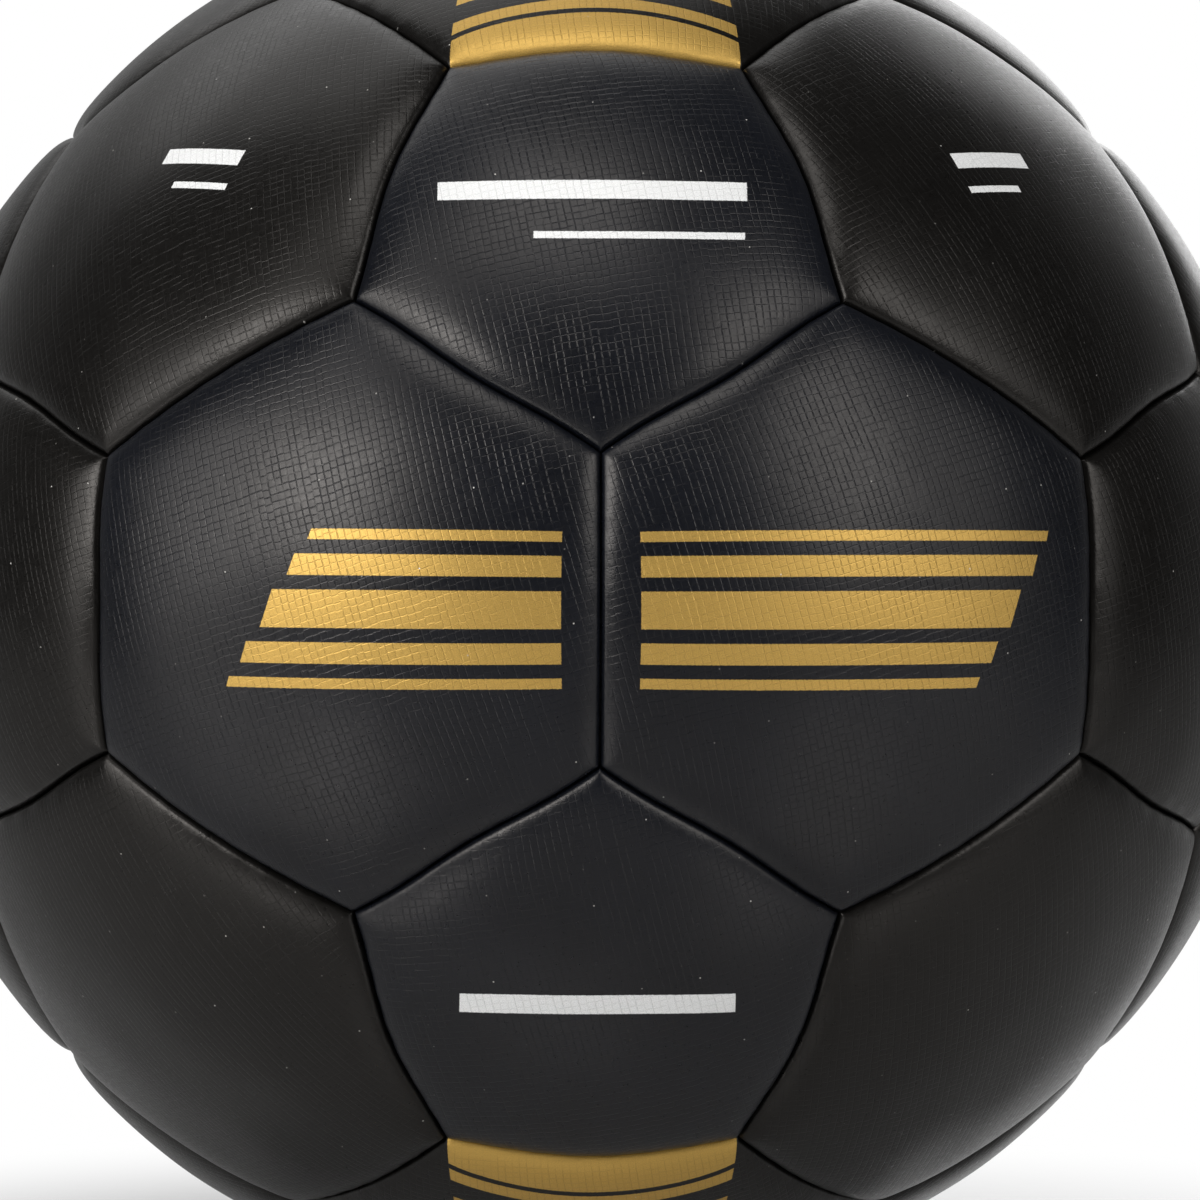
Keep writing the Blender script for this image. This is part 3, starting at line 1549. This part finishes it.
@dataclass
class Studio:
    """The camera, the lights, the floor and the pale surroundings, in metres and image pixels."""

    azimuth: float = -1.404
    elevation: float = 1.174
    roll: float = 0.163
    distance: float = 0.7421
    focal_px: float = 5486.9
    image_px: float = 1200.0
    ball_px: tuple = (582.0, 594.23)
    sensor: float = 36.0
    floor_z: float = -0.0932
    floor_rings: tuple = (0.02, 0.1, 0.3, 0.8, 2.0, 4.0)
    floor_sides: int = 64
    floor_fade: tuple = (0.05, 0.17)
    floor_noise: tuple = (300.0, 3.0)
    floor_tones: tuple = (0.7, 0.74)
    floor_roughness: float = 0.15
    floor_ior: float = 2.1
    floor_gloss_depths: tuple = (0.2, 1.2)
    world_gloss_depths: tuple = (0.2, 0.9)
    ambient: float = 0.02
    backdrop_gloss: float = 0.4
    softboxes: tuple = (
        Softbox("left_softbox", -42.0, 18.0, 1.0, 0.35, 0.35, 10.6),
        Softbox("left_upper_softbox", -43.0, 42.0, 1.0, 0.35, 0.5, 1.2),
        Softbox("left_side_softbox", -64.0, 12.0, 1.0, 0.35, 0.5, 3.6),
        Softbox("right_softbox", 40.0, 25.0, 1.0, 0.35, 0.68, 4.2),
        Softbox("right_side_softbox", 62.0, 15.0, 1.0, 0.35, 0.6, 1.3),
        Softbox("top_softbox", -10.0, 62.0, 1.1, 0.5, 0.5, 3.7),
        Softbox("top_back_softbox", -150.0, 60.0, 1.2, 1.0, 1.0, 1.1),
        Softbox("back_softbox", 165.0, 20.0, 1.2, 0.7, 0.7, 2.0),
    )

    def camera(self) -> None:
        """Makes the camera at the photograph's viewing angle."""
        a, e, r = (math.radians(v) for v in (self.azimuth, self.elevation, self.roll))
        back = Vector((math.sin(a) * math.cos(e), -math.cos(a) * math.cos(e), math.sin(e)))
        level = Vector((math.cos(a), math.sin(a), 0))
        rising = back.cross(level)
        right = math.cos(r) * level + math.sin(r) * rising
        up = math.cos(r) * rising - math.sin(r) * level
        middle = self.image_px / 2
        aim = -back + right * (middle - self.ball_px[0]) / self.focal_px
        aim = (aim - up * (middle - self.ball_px[1]) / self.focal_px).normalized()
        right = aim.cross(up).normalized()
        up = right.cross(aim)
        data = bpy.data.cameras.new("camera")
        data.sensor_width = self.sensor
        data.lens = self.focal_px * self.sensor / self.image_px
        made = bpy.data.objects.new("camera", data)
        turn = Matrix((right, up, -aim)).transposed()
        made.matrix_world = Matrix.Translation(back * self.distance) @ turn.to_4x4()
        bpy.context.scene.collection.objects.link(made)
        bpy.context.scene.camera = made

    def floor(self) -> None:
        """Makes the pale floor, which keeps the ball's shadow near it and is white further off."""
        turns = np.linspace(0, 2 * math.pi, self.floor_sides, endpoint=False)
        around = np.column_stack([np.cos(turns), np.sin(turns), np.zeros(len(turns))])
        level = np.array([0, 0, self.floor_z])
        parts = MeshParts()
        rings = [parts.add((around * r + level) / MM) for r in self.floor_rings]
        parts.join_run(rings)
        parts.cap(rings[0], parts.add((level / MM)[None])[0], flip=True)
        floor = make_object("studio_floor", parts)
        wiring = Wiring("pale_floor")
        aside, depth, _ = wiring.split(wiring.place())
        squares = [wiring.math("MULTIPLY", number, number) for number in (aside, depth)]
        away = wiring.math("SQRT", wiring.math("ADD", *squares))
        seen = self.seen(wiring, depth, *self.floor_gloss_depths)
        far = wiring.math("MULTIPLY", wiring.ease(away, *self.floor_fade), seen)
        tone = wiring.over(wiring.noise(wiring.place(), *self.floor_noise), *self.floor_tones)
        finish = {"Base Color": wiring.grey(tone), "Roughness": self.floor_roughness, "IOR": self.floor_ior}
        plain = wiring.add("ShaderNodeBsdfPrincipled", finish).outputs[0]
        white = wiring.add("ShaderNodeEmission", {"Color": (1, 1, 1, 1), "Strength": 1.0}).outputs[0]
        mixed = wiring.add("ShaderNodeMixShader", {0: far, 1: plain, 2: white}).outputs[0]
        wiring.add("ShaderNodeOutputMaterial", {"Surface": mixed})
        floor.data.materials.append(wiring.material)

    def seen(self, wiring: Wiring, depth: Feed, near: float, far: float) -> bpy.types.NodeSocket:
        """Gives how much of the white background a ray sees.

        Args:
            wiring: Tree to build in.
            depth: How far towards the backdrop the ray ends.
            near: Depth at which gloss starts to show the backdrop.
            far: Depth from which it shows all that it can.

        Returns:
            1 for the camera and through clear pieces, and up to the backdrop's gloss for reflections.
        """
        ray = wiring.add("ShaderNodeLightPath")
        gloss = wiring.ease(depth, near, far, 0.0, self.backdrop_gloss)
        gloss = wiring.math("MULTIPLY", ray.outputs["Is Glossy Ray"], gloss)
        plain = wiring.math("MAXIMUM", ray.outputs["Is Camera Ray"], ray.outputs["Is Transmission Ray"])
        return wiring.math("MAXIMUM", plain, gloss)

    def surroundings(self) -> None:
        """Makes the world white to the camera, dim to the ball and paler in gloss behind it."""
        world = bpy.data.worlds.new("studio")
        world.use_nodes = True
        bpy.context.scene.world = world
        wiring = Wiring.of(world.node_tree)
        _, depth, _ = wiring.split(wiring.add("ShaderNodeTexCoord").outputs["Generated"])
        seen = self.seen(wiring, depth, *self.world_gloss_depths)
        strength = wiring.blend(seen, self.ambient, 1.0)
        background = wiring.add("ShaderNodeBackground", {"Color": (1, 1, 1, 1), "Strength": strength})
        wiring.add("ShaderNodeOutputWorld", {0: background.outputs[0]})

    def build(self) -> None:
        """Makes the floor, the surroundings and the lights, and sets how colours are shown."""
        bpy.context.scene.view_settings.view_transform = "Standard"
        self.floor()
        self.surroundings()
        for softbox in self.softboxes:
            softbox.build()


def main() -> None:
    """Builds the scene in order: camera, skins, layers behind them, lacing, bladder and studio."""
    logging.basicConfig(level=logging.INFO, format="%(name)s: %(message)s")
    studio = Studio()
    studio.camera()
    sizes = BallSizes()
    sewing = PanelSewing(sizes)
    SkinShop(sewing).build()
    Backing(sewing).build()
    Lacing(sizes).build()
    Bladder(sizes).build()
    studio.build()


if __name__ == "__main__":
    main()
